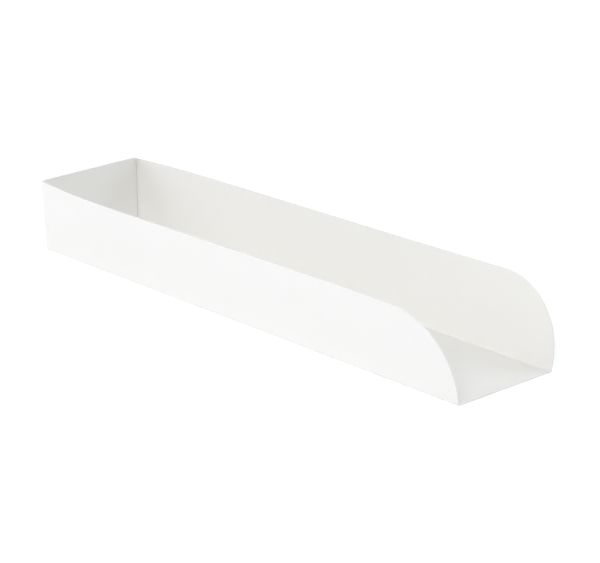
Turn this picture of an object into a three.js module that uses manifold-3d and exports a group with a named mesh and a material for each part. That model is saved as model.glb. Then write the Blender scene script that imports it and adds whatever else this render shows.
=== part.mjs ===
// A long, narrow food tray folded from one sheet of white paperboard: a floor, two side walls
// that flare out, an end wall, and an open end where the side walls are cut round.
// Millimetres, +Z up. The floor's underside is at z = 0 and the open end points along +X.
import * as THREE from "three";
import { mergeVertices } from "three/addons/utils/BufferGeometryUtils.js";
import Module from "manifold-3d";

// Driving dimensions
const FLOOR_LENGTH = 180; // from the end wall's crease to the open edge
const FLOOR_WIDTH = 37.3; // between the two side creases, outside
const BOARD = 0.4; // thickness of the paperboard

const WALL_HEIGHT_CLOSED = 22.4; // side wall at the end wall, up its own slope
const WALL_HEIGHT_OPEN = 24.8; // the same at the open end, where the sheet is cut a little taller
const ROUND_RADIUS = 21.6; // the cut corner of each side wall at the open end

const FLARE_CORNER = 0.7; // how far a side wall's top stands out at the end wall
const FLARE_MIDDLE = 3.1; // and along the middle
const FLARE_OPEN = 4.6; // and at the open end
const FLARE_RUN = 45; // length in which the wall goes from the first to the second
const FLARE_OPEN_RUN = 70; // length in which it goes from the second to the third

const END_HEIGHT = 22.8; // end wall, up its own slope
const END_LEAN = 1.0; // how far the end wall's top leans out

const FOLD_RADIUS = 0.5; // outside of every fold
const CREASE_BEAD = 0.45; // radius of the ridge that a floor crease raises inside the fold
const CORNER_BEAD = 0.3; // the same in the two corner folds
const CUT_GAP = 0.1; // between the end wall's cut sides and the corner's ridge

const TAB_WIDTH = 12; // glue tab, from the corner along the back of the end wall
const TAB_TAPER_TOP = 0.3; // how much its upper cut edge closes in towards its free end
const TAB_TAPER_BOTTOM = 1.6; // and its lower one
const GLUE_FILM = 0.1; // between a tab and the end wall
const GLUE_MARGIN = 2; // from the film's edges to the tab's edges

// How finely the curved stretches are divided
const FOLD_STEPS = 4;
const WALL_STEPS = 4;
const TAB_STEPS = 3;
const FLARE_STEPS = 10;
const MIDDLE_STEPS = 10;
const ROUND_STEPS = 12;

const WHITE_BOARD = 0xedece6;

const NEAR = -1;
const FAR = 1;
const QUARTER_TURN = Math.PI / 2;
const LEAN_BACK = END_LEAN / END_HEIGHT;

// The sheet is a net of paired points, one on its outer face and one on its inner face.
class Sheet {
  constructor() {
    this.pairs = [];
    this.quads = [];
  }

  point(outer, inner) {
    this.pairs.push([outer, inner]);
    return this.pairs.length - 1;
  }

  // Rows of point numbers become quads; turned reverses which way they face.
  patch(rows, turned = false) {
    for (let r = 0; r + 1 < rows.length; r++) {
      for (let c = 0; c + 1 < rows[r].length; c++) {
        const quad = [rows[r][c], rows[r + 1][c], rows[r + 1][c + 1], rows[r][c + 1]];
        this.quads.push(turned ? quad.reverse() : quad);
      }
    }
  }

  // Both faces of the sheet, closed along every cut edge.
  geometry() {
    const triangles = [];
    const addQuad = (a, b, c, d) => triangles.push(a, b, c, a, c, d);
    const outer = (i) => this.pairs[i][0];
    const inner = (i) => this.pairs[i][1];
    const edges = new Set();
    for (const quad of this.quads) {
      quad.forEach((from, k) => edges.add(`${from},${quad[(k + 1) % 4]}`));
      addQuad(...quad.map(inner));
      addQuad(...quad.map(outer).reverse());
    }
    for (const edge of edges) {
      const [from, to] = edge.split(",").map(Number);
      if (!edges.has(`${to},${from}`)) {
        addQuad(inner(to), inner(from), outer(from), outer(to));
      }
    }
    return new THREE.BufferGeometry().setFromPoints(triangles);
  }
}

const along = (start, ...steps) => {
  const point = start.clone();
  for (const [direction, distance] of steps) {
    point.addScaledVector(direction, distance);
  }
  return point;
};

// A fold in the plane of two directions, flat and raised, that leave its outer corner.
// Outside it is round; inside, the crease has raised a ridge on the inner corner.
function foldPoints(corner, innerCorner, flat, raised, bead) {
  const points = [];
  for (let k = 0; k <= FOLD_STEPS; k++) {
    const turn = (k / FOLD_STEPS) * QUARTER_TURN;
    const outer = along(
      corner,
      [flat, FOLD_RADIUS * (1 - Math.sin(turn))],
      [raised, FOLD_RADIUS * (1 - Math.cos(turn))],
    );
    const inner = along(
      innerCorner,
      [flat, bead * Math.cos(turn)],
      [raised, bead * Math.sin(turn)],
    );
    points.push([outer, inner]);
  }
  return points;
}

// How far a side wall's top stands out at a distance from the end wall.
function flareAt(distance) {
  const rise = THREE.MathUtils.smoothstep(distance, 0, FLARE_RUN);
  const openRise = Math.max(0, 1 - (FLOOR_LENGTH - distance) / FLARE_OPEN_RUN);
  return (
    FLARE_CORNER + (FLARE_MIDDLE - FLARE_CORNER) * rise + (FLARE_OPEN - FLARE_MIDDLE) * openRise ** 2
  );
}

// The side wall's full height at a distance from the end wall, before the round is cut.
function sheetHeightAt(distance) {
  return WALL_HEIGHT_CLOSED + (WALL_HEIGHT_OPEN - WALL_HEIGHT_CLOSED) * (distance / FLOOR_LENGTH);
}

function wallHeightAt(distance) {
  const intoRound = Math.max(0, distance - (FLOOR_LENGTH - ROUND_RADIUS));
  const cut = ROUND_RADIUS - Math.sqrt(Math.max(0, ROUND_RADIUS ** 2 - intoRound ** 2));
  return sheetHeightAt(distance) - cut;
}

// The side wall's slope at a distance: its outer foot, its direction upwards and its lean.
function wallFrame(distance, side) {
  const outward = flareAt(distance) / sheetHeightAt(distance);
  const back = LEAN_BACK * (1 - distance / FLOOR_LENGTH);
  const up = new THREE.Vector3(-back, side * outward, Math.sqrt(1 - back ** 2 - outward ** 2));
  return {
    foot: new THREE.Vector3(distance, (side * FLOOR_WIDTH) / 2, 0),
    up,
    inward: new THREE.Vector3(0, -side, 0),
    lean: Math.asin(outward),
  };
}

function wallPoint(frame, height) {
  const outer = along(frame.foot, [frame.up, height]);
  return [outer, along(outer, [frame.inward, BOARD / Math.cos(frame.lean)])];
}

// One side's points across the tray at a distance: the fold from the floor, then the wall.
function sideSection(distance, side) {
  const frame = wallFrame(distance, side);
  const innerCorner = along(
    frame.foot,
    [frame.inward, (BOARD * (1 - Math.sin(frame.lean))) / Math.cos(frame.lean)],
    [new THREE.Vector3(0, 0, 1), BOARD],
  );
  const fold = foldPoints(frame.foot, innerCorner, frame.inward, frame.up, CREASE_BEAD);
  const wallStart = BOARD + CREASE_BEAD;
  const top = wallHeightAt(distance);
  const wall = [];
  for (let k = 1; k <= WALL_STEPS; k++) {
    wall.push(wallPoint(frame, wallStart + (top - wallStart) * (k / WALL_STEPS)));
  }
  return { fold, wall };
}

// Half the floor's width between the side creases, and half the end wall's between the corner ridges.
const FLOOR_HALF_WIDTH = FLOOR_WIDTH / 2 - BOARD - CREASE_BEAD - CUT_GAP;
const END_HALF_WIDTH = FLOOR_WIDTH / 2 - BOARD - CORNER_BEAD - CUT_GAP;
// Where the floor proper starts, past the end wall's fold.
const FLOOR_START = Math.max(FOLD_RADIUS, BOARD + CREASE_BEAD) + CUT_GAP;

function floorPoint(distance, y) {
  return [new THREE.Vector3(distance, y, 0), new THREE.Vector3(distance, y, BOARD)];
}

// Distances along the tray at which its section is drawn.
function stations() {
  const roundStart = FLOOR_LENGTH - ROUND_RADIUS;
  const list = [];
  for (let k = 0; k < FLARE_STEPS; k++) {
    list.push(FLOOR_START + (FLARE_RUN - FLOOR_START) * (k / FLARE_STEPS));
  }
  for (let k = 0; k < MIDDLE_STEPS; k++) {
    list.push(FLARE_RUN + (roundStart - FLARE_RUN) * (k / MIDDLE_STEPS));
  }
  for (let k = 0; k <= ROUND_STEPS; k++) {
    list.push(roundStart + ROUND_RADIUS * Math.sin((k / ROUND_STEPS) * QUARTER_TURN));
  }
  return list;
}

// Floor and both side walls. Returns the rows of point numbers and where each part lies in a row.
function addTrough(sheet) {
  const rows = stations().map((distance) => {
    const near = sideSection(distance, NEAR);
    const far = sideSection(distance, FAR);
    const across = [
      ...[...near.fold, ...near.wall].reverse(),
      ...[-FLOOR_HALF_WIDTH, 0, FLOOR_HALF_WIDTH].map((y) => floorPoint(distance, y)),
      ...far.fold,
      ...far.wall,
    ];
    return across.map(([outer, inner]) => sheet.point(outer, inner));
  });
  sheet.patch(rows);
  const first = rows[0];
  const sideCount = FOLD_STEPS + 1 + WALL_STEPS;
  return {
    nearWall: first.slice(0, WALL_STEPS + 1).reverse(),
    floor: first.slice(sideCount, -sideCount),
    farWall: first.slice(-WALL_STEPS - 1),
  };
}

// Widens the end wall from the floor's width at its foot, and further up as the side walls spread.
function spreadEnd(point) {
  const aboveFold = THREE.MathUtils.smoothstep(point.z, BOARD, BOARD + CREASE_BEAD);
  const halfWidth = THREE.MathUtils.lerp(FLOOR_HALF_WIDTH, END_HALF_WIDTH, aboveFold);
  point.y *= (halfWidth + (FLARE_CORNER / WALL_HEIGHT_CLOSED) * point.z) / FLOOR_HALF_WIDTH;
}

// The end wall, folded up from the floor between the side walls.
function addEndWall(sheet, floorRow) {
  const flat = new THREE.Vector3(1, 0, 0);
  const up = new THREE.Vector3(-LEAN_BACK, 0, Math.sqrt(1 - LEAN_BACK ** 2));
  const lean = Math.asin(LEAN_BACK);
  const columns = [-FLOOR_HALF_WIDTH, 0, FLOOR_HALF_WIDTH].map((y, k) => {
    const corner = new THREE.Vector3(0, y, 0);
    const innerCorner = along(
      corner,
      [flat, (BOARD * (1 - Math.sin(lean))) / Math.cos(lean)],
      [new THREE.Vector3(0, 0, 1), BOARD],
    );
    const points = foldPoints(corner, innerCorner, flat, up, CREASE_BEAD);
    const start = BOARD + CREASE_BEAD;
    for (let j = 1; j <= WALL_STEPS; j++) {
      const outer = along(corner, [up, start + (END_HEIGHT - start) * (j / WALL_STEPS)]);
      points.push([outer, along(outer, [flat, BOARD / Math.cos(lean)])]);
    }
    points.flat().forEach(spreadEnd);
    return [floorRow[k], ...points.map(([outer, inner]) => sheet.point(outer, inner))];
  });
  sheet.patch(columns);
}

// The outside corner between a side wall and its tab, at a height up the wall.
function tabCorner(height, side) {
  const frame = wallFrame(-BOARD - GLUE_FILM, side);
  return along(frame.foot, [frame.up, height]);
}

// A glue tab: the side wall carries on round the corner and along the back of the end wall.
function addTab(sheet, wallColumn, side) {
  const flat = new THREE.Vector3(1, 0, 0);
  const inward = new THREE.Vector3(0, -side, 0);
  const start = BOARD + CREASE_BEAD;
  const top = wallHeightAt(FLOOR_START);
  const rows = wallColumn.map((first, k) => {
    const rise = k / WALL_STEPS;
    const height = start + (top - start) * rise;
    const corner = tabCorner(height, side);
    const innerCorner = along(corner, [flat, BOARD], [inward, BOARD]);
    const points = foldPoints(corner, innerCorner, flat, inward, CORNER_BEAD);
    const foldEnd = Math.max(FOLD_RADIUS, BOARD + CORNER_BEAD);
    for (let j = 1; j <= TAB_STEPS; j++) {
      const share = j / TAB_STEPS;
      const closing = share * THREE.MathUtils.lerp(TAB_TAPER_BOTTOM, -TAB_TAPER_TOP, rise);
      const outer = along(tabCorner(height + closing, side), [
        inward,
        foldEnd + (TAB_WIDTH - foldEnd) * share,
      ]);
      points.push([outer, along(outer, [flat, BOARD])]);
    }
    return [first, ...points.map(([outer, inner]) => sheet.point(outer, inner))];
  });
  sheet.patch(rows, side === NEAR);
}

// The film of glue behind the end wall, set into the middle of both layers of board.
function glueFilm(side) {
  const bottom = BOARD + CREASE_BEAD + TAB_TAPER_BOTTOM + GLUE_MARGIN;
  const top = WALL_HEIGHT_CLOSED - TAB_TAPER_TOP - GLUE_MARGIN;
  const fromCorner = FLOOR_WIDTH / 2 - END_HALF_WIDTH + GLUE_MARGIN;
  const width = TAB_WIDTH - GLUE_MARGIN - fromCorner;
  const film = new THREE.BoxGeometry(BOARD + GLUE_FILM, width, top - bottom);
  film.translate(-GLUE_FILM / 2, side * (FLOOR_WIDTH / 2 - fromCorner - width / 2), (top + bottom) / 2);
  const places = film.attributes.position;
  for (let i = 0; i < places.count; i++) {
    places.setX(i, places.getX(i) - LEAN_BACK * places.getZ(i));
  }
  return film;
}

const wasm = await Module();
wasm.setup();

function toSolid(geometry) {
  const bare = geometry.clone();
  bare.deleteAttribute("normal");
  bare.deleteAttribute("uv");
  const merged = mergeVertices(bare, 1e-5);
  return new wasm.Manifold(
    new wasm.Mesh({
      numProp: 3,
      vertProperties: new Float32Array(merged.attributes.position.array),
      triVerts: new Uint32Array(merged.index.array),
    }),
  );
}

function toGeometry(solid) {
  const mesh = solid.getMesh();
  const geometry = new THREE.BufferGeometry();
  geometry.setAttribute("position", new THREE.BufferAttribute(mesh.vertProperties, 3));
  geometry.setIndex(new THREE.BufferAttribute(mesh.triVerts, 1));
  return geometry;
}

function foldedTray() {
  const sheet = new Sheet();
  const { nearWall, floor, farWall } = addTrough(sheet);
  addEndWall(sheet, floor);
  addTab(sheet, nearWall, NEAR);
  addTab(sheet, farWall, FAR);
  const glued = [NEAR, FAR].reduce(
    (solid, side) => solid.add(toSolid(glueFilm(side))),
    toSolid(sheet.geometry()),
  );
  return toGeometry(glued);
}

// The origin is at the middle of the tray's outline, on the surface that it stands on.
const body = foldedTray();
body.computeBoundingBox();
body.translate(-(body.boundingBox.min.x + body.boundingBox.max.x) / 2, 0, 0);
body.computeVertexNormals();

const paperboard = new THREE.MeshStandardMaterial({ color: WHITE_BOARD, roughness: 0.8, metalness: 0 });
const trayBody = new THREE.Mesh(body, paperboard);
trayBody.name = "tray_body";

const tray = new THREE.Group();
tray.name = "paper_food_tray";
tray.add(trayBody);

export default tray;
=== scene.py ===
"""A paper food tray, folded from one sheet of white board, on a plain white studio floor."""
import math

import bmesh
import bpy
from mathutils import Matrix, Vector


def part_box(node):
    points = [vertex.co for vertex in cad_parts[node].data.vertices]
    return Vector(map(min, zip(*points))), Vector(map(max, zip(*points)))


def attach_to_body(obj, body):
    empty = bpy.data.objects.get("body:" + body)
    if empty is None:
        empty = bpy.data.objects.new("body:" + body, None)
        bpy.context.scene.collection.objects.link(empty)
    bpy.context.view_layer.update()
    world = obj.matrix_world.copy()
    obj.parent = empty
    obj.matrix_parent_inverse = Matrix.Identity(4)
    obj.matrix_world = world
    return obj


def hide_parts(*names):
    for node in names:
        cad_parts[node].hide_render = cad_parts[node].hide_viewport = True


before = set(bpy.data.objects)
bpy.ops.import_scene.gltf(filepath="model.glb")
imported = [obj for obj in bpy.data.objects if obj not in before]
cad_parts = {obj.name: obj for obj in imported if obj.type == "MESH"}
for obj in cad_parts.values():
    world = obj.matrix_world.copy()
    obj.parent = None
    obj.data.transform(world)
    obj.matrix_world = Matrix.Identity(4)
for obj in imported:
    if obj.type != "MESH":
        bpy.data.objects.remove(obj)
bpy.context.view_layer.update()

MM = 0.001
BODY = "root"
NODE = "tray_body"

# The tray's sizes, in millimetres, with x = 0 at the end wall's crease
BOARD = 0.4
FLOOR_LENGTH = 180.0
FLOOR_WIDTH = 37.3
WALL_HEIGHT_CLOSED = 22.4
WALL_HEIGHT_OPEN = 24.8
ROUND_RADIUS = 21.6
END_HEIGHT = 22.8
END_LEAN = 1.0
TAB_WIDTH = 12.0
TAB_TAPER_TOP = 0.3
TAB_TAPER_BOTTOM = 1.6
GLUE_FILM = 0.1

# How far the side walls' tops stand out: at the corner, in the middle and at the open end
FLARE_CORNER = 0.7
FLARE_MIDDLE = 3.1
FLARE_OPEN = 4.6
FLARE_RUN = 50.0
FLARE_EASE = 3
FLARE_OPEN_RUN = 70.0

# The folds, and the room that the end wall's cut sides leave beside them
FOLD_RADIUS = 0.5
CREASE_BEAD = 0.4
CREASE_RISE = 0.6
RIDGE_FADE = 2.5
CORNER_BEAD = 0.3
FOLD_REACH = 3.0
CUT_GAP = 0.03
TOP_CLEARANCE = 0.25
CLEAR_FROM = 0.8

LEAN_BACK = END_LEAN / END_HEIGHT
FLOOR_START = BOARD + CREASE_BEAD + CUT_GAP
WALL_START = BOARD + CREASE_RISE
ROUND_START = FLOOR_LENGTH - ROUND_RADIUS
HALF_WIDTH = FLOOR_WIDTH / 2
END_HALF_WIDTH = HALF_WIDTH - BOARD - CORNER_BEAD - CUT_GAP
NEAR, FAR = -1, 1
OUTSIDE, INSIDE = 0, 1

# How finely the sheet is divided
FOLD_STEPS = 8
WALL_STEPS = 14
FLOOR_STEPS = 12
TAB_STEPS = 6
FLARE_STEPS = 32
MIDDLE_STEPS = 40
ROUND_STEPS = 32
CUT_SOFTENING = 0.07
CUT_SOFTENING_STEPS = 2
SMALLEST_EDGE = 0.0005
CUT_ANGLE = math.radians(60)
SHARP_ANGLE = math.radians(35)


def smooth_rise(value, low, high):
    """Goes gently from 0 at the low value to 1 at the high one."""
    share = min(1.0, max(0.0, (value - low) / (high - low)))
    return share * share * (3 - 2 * share)


# The sheet's shape


def flare_at(distance):
    """How far a side wall's top stands out at a distance from the end wall."""
    to_go = min(1.0, max(0.0, 1 - (distance - FLOOR_START) / FLARE_RUN))
    rise = 1 - to_go ** FLARE_EASE
    open_rise = max(0.0, 1 - (FLOOR_LENGTH - distance) / FLARE_OPEN_RUN)
    flare = FLARE_CORNER + (FLARE_MIDDLE - FLARE_CORNER) * rise
    return flare + (FLARE_OPEN - FLARE_MIDDLE) * open_rise ** 2


def sheet_height_at(distance):
    """A side wall's height at a distance from the end wall, before the round is cut."""
    return WALL_HEIGHT_CLOSED + (WALL_HEIGHT_OPEN - WALL_HEIGHT_CLOSED) * distance / FLOOR_LENGTH


def wall_height_at(distance):
    """A side wall's height with the quarter round cut at the open end."""
    into_round = max(0.0, distance - ROUND_START)
    cut = ROUND_RADIUS - math.sqrt(max(0.0, ROUND_RADIUS ** 2 - into_round ** 2))
    return sheet_height_at(distance) - cut


def crease(bead, rise, fade):
    """A fold's pairs of points, outer and inner, as distances along the old panel and the new one.

    Inside, the crease has squeezed up a ridge: it stands steeply on the old panel and fades into the new.
    """
    pairs = []
    for step in range(FOLD_STEPS + 1):
        turn = step / FOLD_STEPS * math.pi / 2
        outer = (FOLD_RADIUS * (1 - math.sin(turn)), FOLD_RADIUS * (1 - math.cos(turn)))
        inner = (BOARD + bead * math.cos(turn) ** fade, BOARD + rise * math.sin(turn))
        pairs.append((outer, inner))
    return pairs


def floor_crease():
    """The crease between the floor and a wall."""
    return crease(CREASE_BEAD, CREASE_RISE, RIDGE_FADE)


def corner_crease():
    """The upright crease between a side wall and its tab, with an even ridge."""
    return crease(CORNER_BEAD, CORNER_BEAD, 1)


def folded_panel(fold, length, steps):
    """A fold and the panel that it raises."""
    start = fold[-1][1][1]
    rise = [start + (length - start) * (step + 1) / steps for step in range(steps)]
    return fold + [((0, height), (BOARD, height)) for height in rise]


def stations():
    """Distances along the tray at which its section is repeated."""
    flare = [FLOOR_START + (FLARE_RUN - FLOOR_START) * k / FLARE_STEPS for k in range(FLARE_STEPS)]
    middle = [FLARE_RUN + (ROUND_START - FLARE_RUN) * k / MIDDLE_STEPS for k in range(MIDDLE_STEPS)]
    turns = [k / ROUND_STEPS * math.pi / 2 for k in range(ROUND_STEPS + 1)]
    return flare + middle + [ROUND_START + ROUND_RADIUS * math.sin(turn) for turn in turns]


class Sheet:
    """Board that grows from a strip of faces: each strip's rungs run from outer to inner face."""

    def __init__(self):
        self.bm = bmesh.new()
        self.inner = self.bm.verts.layers.int.new("inner")

    def strip(self, pairs):
        """A strip of faces across the tray, one rung for each pair of points."""
        rungs = []
        edge = None
        for pair in pairs:
            if edge is None:
                verts = [self.bm.verts.new(point) for point in pair]
                edge = self.bm.edges.new(verts)
            else:
                made = bmesh.ops.extrude_edge_only(self.bm, edges=[edge])["geom"]
                edge = next(item for item in made if isinstance(item, bmesh.types.BMEdge))
                verts = [item for item in made if isinstance(item, bmesh.types.BMVert)]
                verts.sort(key=lambda vert: vert[self.inner])
                for vert, point in zip(verts, pair):
                    vert.co = point
            for vert, side in zip(verts, (OUTSIDE, INSIDE)):
                vert[self.inner] = side
            rungs.append(verts)
        return rungs

    def push(self, faces, place):
        """Extrudes a strip of faces and puts each new point where place says."""
        edges = {edge for face in faces for edge in face.edges}
        made = bmesh.ops.extrude_face_region(self.bm, geom=[*faces, *edges])["geom"]
        verts = [item for item in made if isinstance(item, bmesh.types.BMVert)]
        for vert in verts:
            vert.co = place(vert.co, vert[self.inner])
        return [item for item in made if isinstance(item, bmesh.types.BMFace)], verts


def across_tray():
    """Pairs of points of the section, from the near wall's top to the far wall's."""
    side = folded_panel(floor_crease(), WALL_HEIGHT_CLOSED, WALL_STEPS)
    reach = HALF_WIDTH - FLOOR_START
    floor = [reach * (2 * k / FLOOR_STEPS - 1) for k in range(FLOOR_STEPS + 1)]

    def stand(pair, hand):
        return [Vector((FLOOR_START, hand * (HALF_WIDTH - flat), raised)) for flat, raised in pair]

    near = [stand(pair, NEAR) for pair in reversed(side)]
    middle = [[Vector((FLOOR_START, y, 0)), Vector((FLOOR_START, y, BOARD))] for y in floor]
    return near + middle + [stand(pair, FAR) for pair in side]


def shape_trough(vert):
    """Lets a wall flare and lean, and cuts its height to the outline."""
    x, y, z = vert.co
    share = smooth_rise(abs(y), HALF_WIDTH - FOLD_REACH, HALF_WIDTH - WALL_START)
    stretch = (wall_height_at(x) - WALL_START) / (WALL_HEIGHT_CLOSED - WALL_START)
    height = z if z <= WALL_START else WALL_START + (z - WALL_START) * stretch
    out = flare_at(x) / sheet_height_at(x)
    back = LEAN_BACK * (1 - x / FLOOR_LENGTH)
    upright = math.sqrt(1 - out ** 2 - back ** 2)
    side = math.copysign(1, y)
    vert.co = Vector((
        x - share * back * height,
        y + share * side * out * height,
        height * (1 + share * (upright - 1)),
    ))


def widen_end(vert):
    """Brings the end wall's cut sides out to the corner ridges, and a little in again at the top."""
    floor_half = HALF_WIDTH - FLOOR_START
    share = smooth_rise(vert.co.z, BOARD, WALL_START)
    clear = TOP_CLEARANCE * smooth_rise(vert.co.z, CLEAR_FROM * END_HEIGHT, END_HEIGHT)
    half = floor_half + share * (END_HALF_WIDTH - floor_half) - clear
    vert.co.y *= half / floor_half


def shape_end(vert, half_width):
    """Leans the end wall or a tab back, and spreads it as the side walls spread."""
    spread = min(1.0, abs(vert.co.y) / half_width)
    out = FLARE_CORNER / WALL_HEIGHT_CLOSED * vert.co.z * spread
    vert.co.x -= LEAN_BACK * vert.co.z
    vert.co.y += math.copysign(out, vert.co.y)


def taper_tab(vert):
    """Closes in the tab's cut edges towards its free end."""
    along = (HALF_WIDTH - abs(vert.co.y) - WALL_START) / (TAB_WIDTH - WALL_START)
    up = (vert.co.z - WALL_START) / (WALL_HEIGHT_CLOSED - WALL_START)
    vert.co.z += max(0.0, along) * ((1 - up) * TAB_TAPER_BOTTOM - up * TAB_TAPER_TOP)


def push_trough(sheet, faces):
    """The floor and the side walls, pushed from the closed end to the open one."""
    trough = []
    for distance in stations()[1:]:
        faces, verts = sheet.push(faces, lambda co, inner: Vector((distance, co.y, co.z)))
        trough += verts
    return trough


def push_end_wall(sheet, faces):
    """The end wall, folded up from the floor."""
    end_wall = []
    for pair in folded_panel(floor_crease(), END_HEIGHT, WALL_STEPS):
        faces, verts = sheet.push(faces, lambda co, inner: Vector((pair[inner][0], co.y, pair[inner][1])))
        end_wall += verts
    return end_wall


def push_tab(sheet, faces, side):
    """A tab, folded from a side wall round the corner on to the back of the end wall."""
    tab = []
    for pair in folded_panel(corner_crease(), TAB_WIDTH, TAB_STEPS):
        faces, verts = sheet.push(faces, lambda co, inner: Vector((
            pair[inner][0] - BOARD - GLUE_FILM,
            side * (HALF_WIDTH - pair[inner][1]),
            co.z,
        )))
        tab += verts
    return tab


def fold_tray():
    """The whole sheet, folded: the section pushed along, then the end wall and the tabs."""
    sheet = Sheet()
    trough = [vert for rung in sheet.strip(across_tray()) for vert in rung]
    sheet.bm.faces.ensure_lookup_table()
    section = list(sheet.bm.faces)
    floor_first = FOLD_STEPS + 1 + WALL_STEPS
    floor = section[floor_first:floor_first + FLOOR_STEPS]
    walls = {NEAR: section[:WALL_STEPS], FAR: section[-WALL_STEPS:]}

    trough += push_trough(sheet, section)
    end_wall = push_end_wall(sheet, floor)
    tabs = [vert for side, faces in walls.items() for vert in push_tab(sheet, faces, side)]

    for vert in trough:
        shape_trough(vert)
    for vert in end_wall:
        widen_end(vert)
        shape_end(vert, END_HALF_WIDTH)
    for vert in tabs:
        taper_tab(vert)
        shape_end(vert, abs(vert.co.y))
    return sheet.bm


def mark_sides(bm):
    """Notes for each face what it shows: the outside, the inside, or the board's cut edge."""
    inner = bm.verts.layers.int["inner"]
    inside = bm.faces.layers.float.new("inside")
    cut = bm.faces.layers.float.new("cut")
    for face in bm.faces:
        sides = [vert[inner] for vert in face.verts]
        face[inside] = min(sides)
        face[cut] = max(sides) - min(sides)


def soften_cuts(bm):
    """Rounds the cut edges by a hair and marks where the surface really turns."""
    bmesh.ops.recalc_face_normals(bm, faces=bm.faces)
    cuts = [edge for edge in bm.edges if edge.calc_face_angle_signed() > CUT_ANGLE]
    rounded = bmesh.ops.bevel(bm, geom=cuts, offset=CUT_SOFTENING, segments=CUT_SOFTENING_STEPS,
                              profile=0.5, affect="EDGES", material=-1, clamp_overlap=True)
    cut = bm.faces.layers.float["cut"]
    for face in rounded["faces"]:
        face[cut] = 1
    bmesh.ops.dissolve_degenerate(bm, dist=SMALLEST_EDGE, edges=bm.edges)
    for face in bm.faces:
        face.smooth = True
    for edge in bm.edges:
        edge.smooth = edge.calc_face_angle() < SHARP_ANGLE


def finish_mesh(bm, name):
    """Moves the sheet into the frame, in metres, and makes it an object at the origin."""
    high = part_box(NODE)[1]
    start = high[0] - FLOOR_LENGTH * MM
    place = Matrix.Translation((start, 0, 0)) @ Matrix.Scale(MM, 4)
    bmesh.ops.transform(bm, matrix=place, verts=bm.verts)
    return new_object(bm, name)


def new_object(bm, name):
    """Hands the mesh over to a new object at the origin."""
    mesh = bpy.data.meshes.new(name)
    bm.to_mesh(mesh)
    bm.free()
    piece = bpy.data.objects.new(name, mesh)
    bpy.context.collection.objects.link(piece)
    return piece


# Materials

MIXED_COLOUR = 2
# Painted light and shade: one white board, its outside painted lighter and its inside painted darker and
# warmer
OUTER_WHITE_PAINTED_LIGHT = (0.925, 0.921, 0.916, 1)
INNER_WHITE_PAINTED_SHADE = (0.862, 0.856, 0.833, 1)
# The cut edges' white: partly the board's own core, partly painted light that lifts the cut edges above
# the inside
CORE_WHITE_AND_PAINTED_LIGHT = (0.87, 0.864, 0.85, 1)
FIBRE_SHADE = (0.74, 0.73, 0.69, 1)
TONE_DEPTH = 0.1
TONE_FROM_FIBRE = 0.6

# The board's cloudy formation and its fibres, which run along the sheet
CLOUD = {"Scale": 260.0, "Detail": 3.0}
FIBRE = {"Scale": 2600.0, "Detail": 4.0, "Roughness": 0.7, "Distortion": 0.6}
FIBRE_STRETCH = (0.35, 1.0, 1.0)

# The matt surface and its fine relief
MATT = 0.58
MATT_CHANGE = 0.18
SHEEN = 0.35
RELIEF_FROM_FIBRE = 0.7
RELIEF_STRENGTH = 0.12
RELIEF_DEPTH = 0.00008

FLOOR_WHITE = 0.9
FLOOR_ROUGHNESS = 0.9
FLOOR_GLOW = 0.25


class Wire:
    """A socket that takes part in sums, so that shader maths reads as arithmetic."""

    def __init__(self, tree, socket=None):
        self.tree = tree
        self.socket = socket

    def math(self, operation, *others):
        return self.node("ShaderNodeMath", {"operation": operation}, dict(enumerate((self, *others))))

    def __add__(self, other):
        return self.math("ADD", other)

    __radd__ = __add__

    def __mul__(self, other):
        return self.math("MULTIPLY", other)

    __rmul__ = __mul__

    def blend(self, first, second):
        """Mixes two colours, the second as much as this wire says."""
        return self.node("ShaderNodeMix", {"data_type": "RGBA"}, {
            "Factor": self, "A": first, "B": second,
        }, output=MIXED_COLOUR)

    def node(self, kind, settings=None, inputs=None, output=0):
        """Adds a node of a kind: its settings first, then the values or wires of its sockets."""
        node = self.tree.nodes.new(kind)
        for key, value in (settings or {}).items():
            setattr(node, key, value)
        for key, value in (inputs or {}).items():
            if isinstance(value, Wire):
                self.tree.links.new(value.socket, node.inputs[key])
            else:
                node.inputs[key].default_value = value
        return Wire(self.tree, node.outputs[output])


def new_material(name):
    material = bpy.data.materials.new(name)
    material.use_nodes = True
    return material, material.node_tree.nodes["Principled BSDF"]


def attach(wire, shader, socket):
    wire.tree.links.new(wire.socket, shader.inputs[socket])


def grey(level):
    return (level, level, level, 1)


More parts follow.
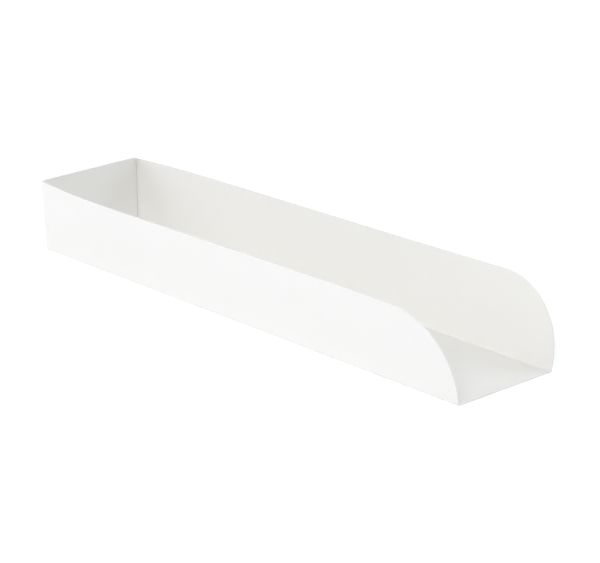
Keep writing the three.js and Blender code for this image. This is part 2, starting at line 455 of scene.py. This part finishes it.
def paperboard():
    """White food board: cloudy formation, fine fibres, and a matt, faintly calendered surface, with
    painted shade on its inside and painted light on its cut edges.
    """
    material, shader = new_material("white_paperboard")
    place = Wire(material.node_tree).node("ShaderNodeTexCoord", output="Object")
    along = place.node("ShaderNodeMapping", {}, {"Vector": place, "Scale": FIBRE_STRETCH})
    cloud = place.node("ShaderNodeTexNoise", {}, {"Vector": place, **CLOUD})
    fibre = place.node("ShaderNodeTexNoise", {}, {"Vector": along, **FIBRE})
    inside = place.node("ShaderNodeAttribute", {"attribute_name": "inside"}, output="Fac")
    cut = place.node("ShaderNodeAttribute", {"attribute_name": "cut"}, output="Fac")

    # Painted light and shade: inside faces take the darker, warmer white, and cut faces take the core
    # white lifted by painted light
    white = cut.blend(inside.blend(OUTER_WHITE_PAINTED_LIGHT, INNER_WHITE_PAINTED_SHADE), CORE_WHITE_AND_PAINTED_LIGHT)
    tone = cloud * (1 - TONE_FROM_FIBRE) + fibre * TONE_FROM_FIBRE
    attach((tone * TONE_DEPTH).blend(white, FIBRE_SHADE), shader, "Base Color")
    attach(fibre * MATT_CHANGE + MATT, shader, "Roughness")

    height = fibre * RELIEF_FROM_FIBRE + cloud * (1 - RELIEF_FROM_FIBRE)
    relief = place.node("ShaderNodeBump", {}, {
        "Strength": RELIEF_STRENGTH, "Distance": RELIEF_DEPTH, "Height": height,
    })
    attach(relief, shader, "Normal")
    shader.inputs["Specular IOR Level"].default_value = SHEEN
    return material


def camera_sees(tree, shown, otherwise):
    """A grey that only camera rays see as shown."""
    seen = Wire(tree).node("ShaderNodeLightPath", output="Is Camera Ray")
    return seen.blend(grey(otherwise), grey(shown))


def studio_floor():
    """A white floor that keeps the tray's soft shadow."""
    material, shader = new_material("white_floor")
    shader.inputs["Base Color"].default_value = grey(FLOOR_WHITE)
    shader.inputs["Roughness"].default_value = FLOOR_ROUGHNESS
    shader.inputs["Emission Strength"].default_value = 1.0
    attach(camera_sees(material.node_tree, FLOOR_GLOW, 0.0), shader, "Emission Color")
    return material


# Stage and light

FLOOR_SIZE = 8.0
SOFTBOX_SIZE = 1.0
WORLD_LEVEL = 0.126
BACKDROP_LEVEL = 1.0
NEUTRAL = (1.0, 1.0, 1.0)
COOL = (0.935, 0.963, 1.0)
LAMPS = {
    "left_softbox": ((-0.9, -1.0, 0.5), 7.7, NEUTRAL),
    "front_softbox": ((0.1, -0.9, 1.1), 4.1, NEUTRAL),
    "right_softbox": ((0.7, -0.8, 1.0), 8.6, NEUTRAL),
    "open_end_softbox": ((1.4, -0.4, 0.35), 0.5, NEUTRAL),
    "back_left_softbox": ((-0.9, 0.8, 0.8), 3.0, COOL),
    "back_softbox": ((0.0, 0.7, 1.2), 6.0, COOL),
    "low_back_softbox": ((0.9, 1.1, 0.45), 6.4, COOL),
}


def add_floor():
    bm = bmesh.new()
    bmesh.ops.create_grid(bm, x_segments=1, y_segments=1, size=FLOOR_SIZE / 2)
    floor = new_object(bm, "studio_floor")
    floor.data.materials.append(studio_floor())


def add_softbox(name, place, power, colour):
    """A square lamp that faces the tray."""
    lamp = bpy.data.lights.new(name, "AREA")
    lamp.shape = "SQUARE"
    lamp.size = SOFTBOX_SIZE
    lamp.energy = power
    lamp.color = colour
    item = bpy.data.objects.new(name, lamp)
    bpy.context.collection.objects.link(item)
    item.location = place
    item.rotation_euler = Vector(place).to_track_quat("Z", "Y").to_euler()


def add_lights():
    world = bpy.data.worlds.new("studio")
    world.use_nodes = True
    backdrop = camera_sees(world.node_tree, BACKDROP_LEVEL, WORLD_LEVEL)
    attach(backdrop, world.node_tree.nodes["Background"], "Color")
    bpy.context.scene.world = world
    for name, (place, power, colour) in LAMPS.items():
        add_softbox(name, place, power, colour)


# The camera, fitted to the photograph's own perspective

PICTURE_WIDTH = 600
SENSOR_WIDTH = 36.0
AZIMUTH = math.radians(47.12)
ELEVATION = math.radians(19.33)
CAMERA_DISTANCE = 0.7645
FOCAL_PIXELS = 2573.6
NEAREST_SEEN = 0.01
LOOK_RIGHT = 0.00506
LOOK_UP = 0.00752
LOOK_ALONG = 0.00074


def add_camera():
    back = Vector((
        math.sin(AZIMUTH) * math.cos(ELEVATION),
        -math.cos(AZIMUTH) * math.cos(ELEVATION),
        math.sin(ELEVATION),
    ))
    right = Vector((math.cos(AZIMUTH), math.sin(AZIMUTH), 0))
    up = back.cross(right)
    target = Vector((LOOK_ALONG, 0, 0)) + right * LOOK_RIGHT + up * LOOK_UP
    lens = bpy.data.cameras.new("camera")
    lens.sensor_width = SENSOR_WIDTH
    lens.lens = FOCAL_PIXELS / PICTURE_WIDTH * SENSOR_WIDTH
    lens.clip_start = NEAREST_SEEN
    item = bpy.data.objects.new("camera", lens)
    bpy.context.collection.objects.link(item)
    turned = Matrix((right, up, back)).transposed().to_4x4()
    item.matrix_world = Matrix.Translation(target + back * CAMERA_DISTANCE) @ turned
    bpy.context.scene.camera = item


def add_tray():
    bm = fold_tray()
    mark_sides(bm)
    soften_cuts(bm)
    tray = finish_mesh(bm, "folded_tray")
    tray.modifiers.new("weighed normals", "WEIGHTED_NORMAL").keep_sharp = True
    tray.data.materials.append(paperboard())
    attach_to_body(tray, BODY)
    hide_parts(NODE)


def main():
    add_tray()
    add_floor()
    add_lights()
    add_camera()
    bpy.context.scene.view_settings.view_transform = "Standard"


main()
